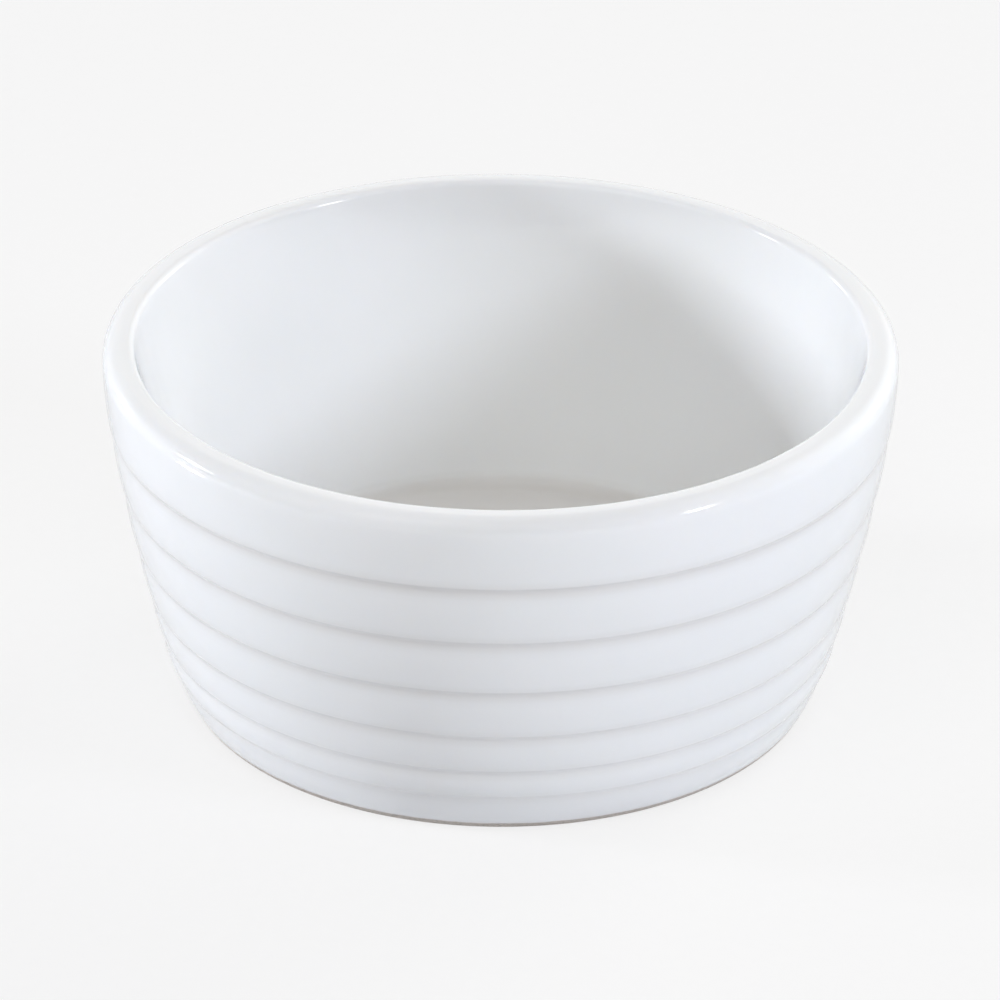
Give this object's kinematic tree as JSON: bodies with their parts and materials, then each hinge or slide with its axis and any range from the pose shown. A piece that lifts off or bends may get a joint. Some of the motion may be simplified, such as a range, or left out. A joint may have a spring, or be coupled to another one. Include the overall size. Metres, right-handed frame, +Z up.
{
  "type": "shaving bowl",
  "caption": "Round porcelain shaving bowl with a rounded lip, lapped rings on its tapered outer wall, a plain cavity and a foot ring.",
  "frame": {"origin": "centre of the foot ring's underside, on the surface that the bowl stands on", "axes": "+Z up along the axis that the bowl is turned about; the bowl is round, so X and Y only fix the frame"},
  "size_m": [0.104, 0.104, 0.05],
  "materials": {
    "glazed_porcelain": "glossy white glaze, bare on the foot ring"
  },
  "bodies": {
    "root": {"bowl": "glazed_porcelain"}
  },
  "joints": []
}
